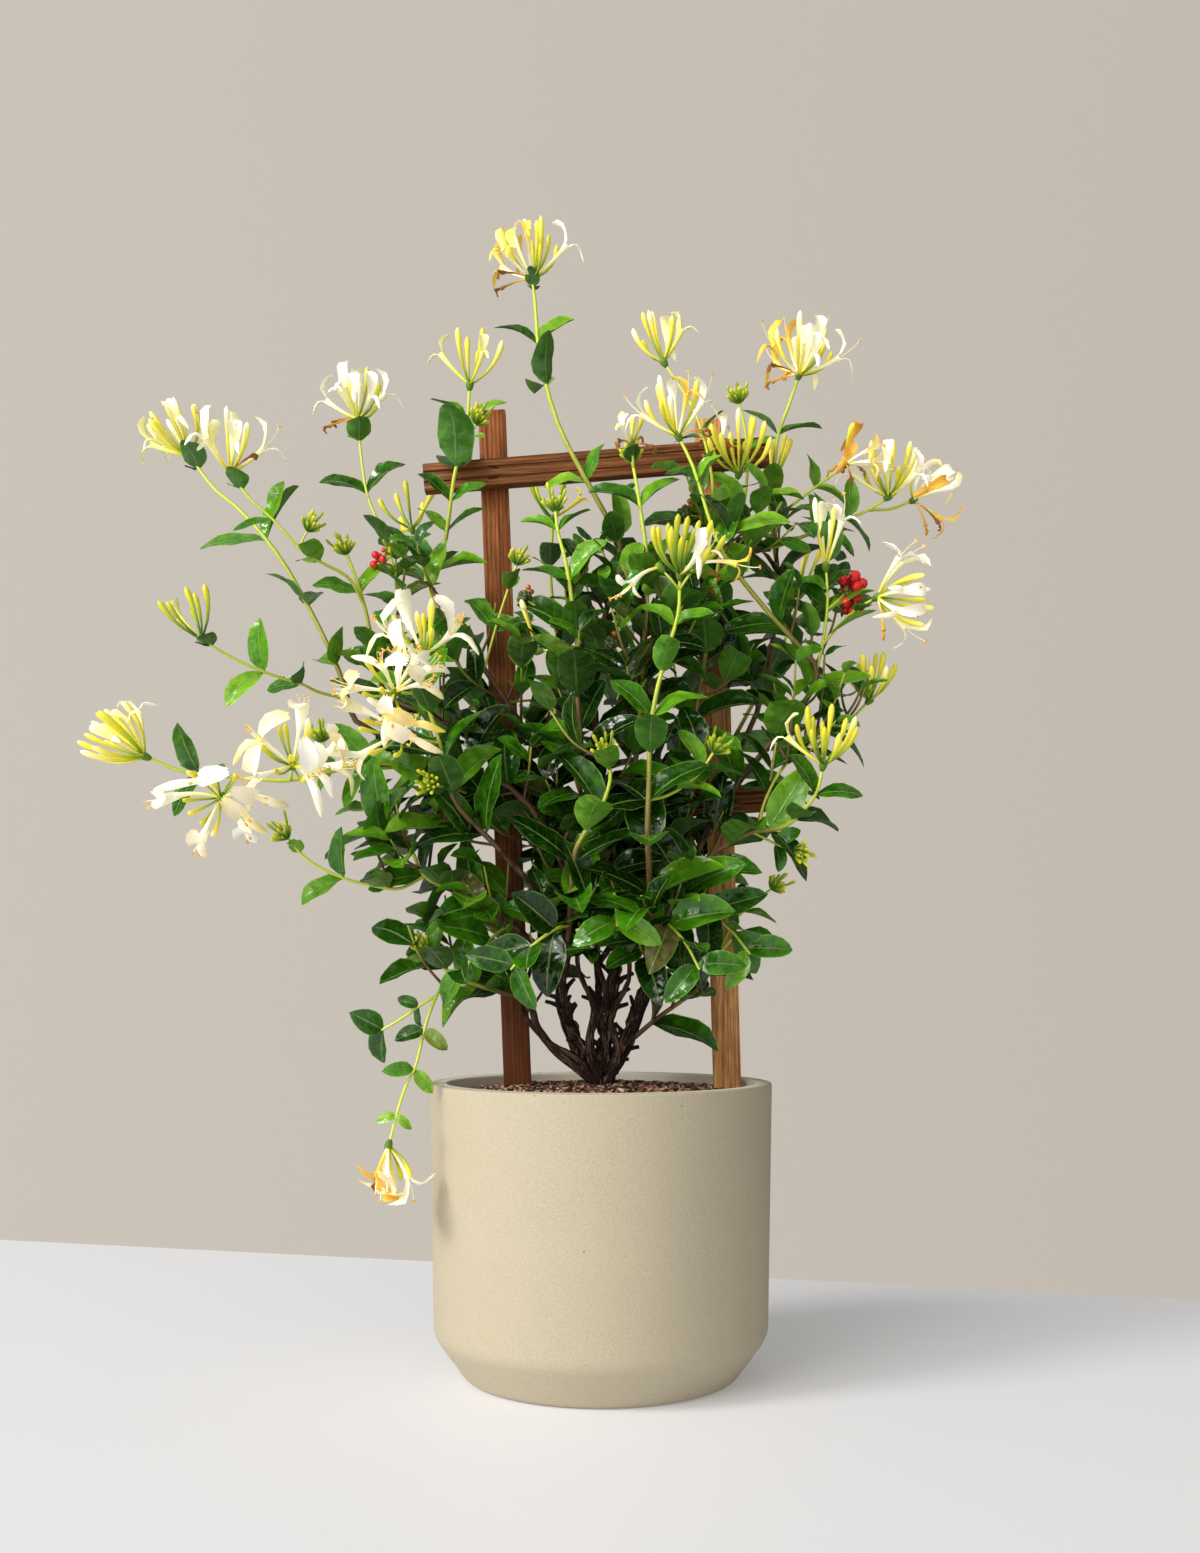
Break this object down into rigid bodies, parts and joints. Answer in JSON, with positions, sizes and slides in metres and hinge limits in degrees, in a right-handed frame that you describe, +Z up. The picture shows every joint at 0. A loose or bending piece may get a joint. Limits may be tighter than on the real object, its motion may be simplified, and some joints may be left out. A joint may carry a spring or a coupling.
{
  "type": "honeysuckle vine",
  "caption": "Honeysuckle vine with opposite leaves and pale yellow tubular flower heads, trained on a small wooden trellis in a round stone-composite pot",
  "frame": {"origin": "centre of the flat underside of the pot", "axes": "+Z is up; -Y is the plant's front; +X is to the right seen from the front"},
  "size_m": [0.6769, 0.3598, 0.9263],
  "materials": {
    "pot": "cream cast stone composite, matt, with fine sandy speckle",
    "soil": "dark brown bark compost, loose and matt",
    "trellis_wood": "reddish brown stained softwood with open grain",
    "bark": "rough stringy brown bark",
    "leaf": "green leaf, slightly glossy above and paler below",
    "bloom": "cream to yellow petals, satin",
    "berry": "ripe red berry, glossy"
  },
  "bodies": {
    "root": {"pot": "pot", "soil": "soil", "left_upright": "trellis_wood", "right_upright": "trellis_wood", "top_crossbar": "trellis_wood", "lower_crossbar": "trellis_wood", "woody_stems": "bark", "trailing_bloom": "bloom", "far_left_bloom": "bloom", "left_bloom_high": "bloom", "left_bloom_low": "bloom", "white_bloom_high": "bloom", "white_bloom_mid": "bloom", "white_bloom_low": "bloom", "fan_bloom_left": "bloom", "fan_bloom_low": "bloom", "inner_bloom_top": "bloom", "fan_bloom_right": "bloom", "upper_left_bloom": "bloom", "top_bloom": "bloom", "front_bloom": "bloom", "right_club_bloom": "bloom", "arch_bloom": "bloom", "arch_bloom_back": "bloom", "tall_tube_bloom": "bloom", "berries": "berry", "right_side_bloom": "bloom", "right_club_low": "bloom", "right_club_high": "bloom", "right_top_bloom": "bloom", "side_bloom": "bloom", "side_bloom_withered": "bloom", "side_bloom_cream": "bloom", "back_left_bloom": "bloom", "back_top_bloom": "bloom", "back_right_bloom": "bloom", "low_left_shoot": "leaf", "mid_left_shoot": "leaf", "far_left_shoot": "leaf", "front_left_shoot": "leaf", "front_mid_shoot": "leaf", "fan_shoot": "leaf", "inner_left_shoot": "leaf", "upper_left_shoot": "leaf", "top_shoot": "leaf", "centre_shoot": "leaf", "middle_shoot": "leaf", "low_right_shoot": "leaf", "front_shoot": "leaf", "right_mid_shoot": "leaf", "arch_shoot": "leaf", "right_low_shoot": "leaf", "right_back_shoot": "leaf", "side_shoot": "leaf", "back_left_shoot": "leaf", "back_up_shoot": "leaf", "back_right_shoot": "leaf", "back_low_shoot": "leaf"}
  },
  "joints": []
}
